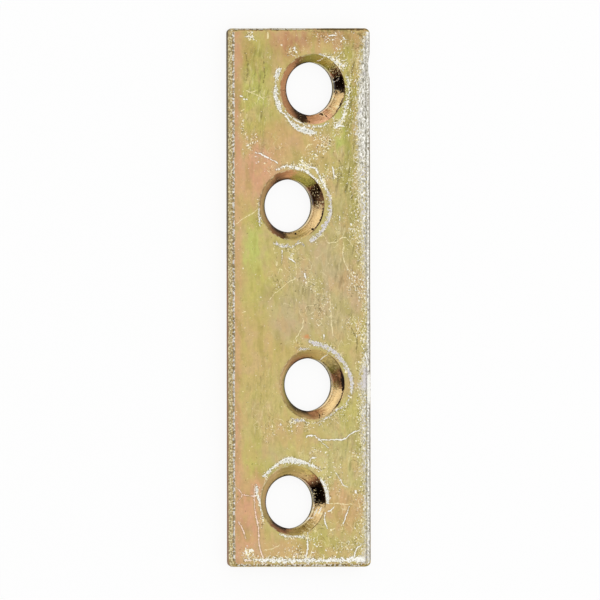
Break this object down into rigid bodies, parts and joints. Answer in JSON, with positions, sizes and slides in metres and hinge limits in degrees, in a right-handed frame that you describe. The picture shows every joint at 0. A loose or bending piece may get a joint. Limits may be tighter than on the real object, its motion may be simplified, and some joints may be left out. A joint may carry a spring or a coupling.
{
  "type": "mending plate",
  "caption": "Flat steel mending plate with staggered countersunk screw holes, for joining two timbers end to end or bracing a joint.",
  "frame": {"origin": "middle of the plate's length and width, on the back face that lies against the work", "axes": "+Z out of the countersunk face, +Y along the length, +X across the width"},
  "size_m": [0.0164, 0.06, 0.002],
  "materials": {
    "zinc_plated_steel": "yellow chromate over zinc plate, semi-gloss, with pink and green cast, fine brushing and pale scratches"
  },
  "bodies": {
    "root": {"mending_plate": "zinc_plated_steel"}
  },
  "joints": []
}
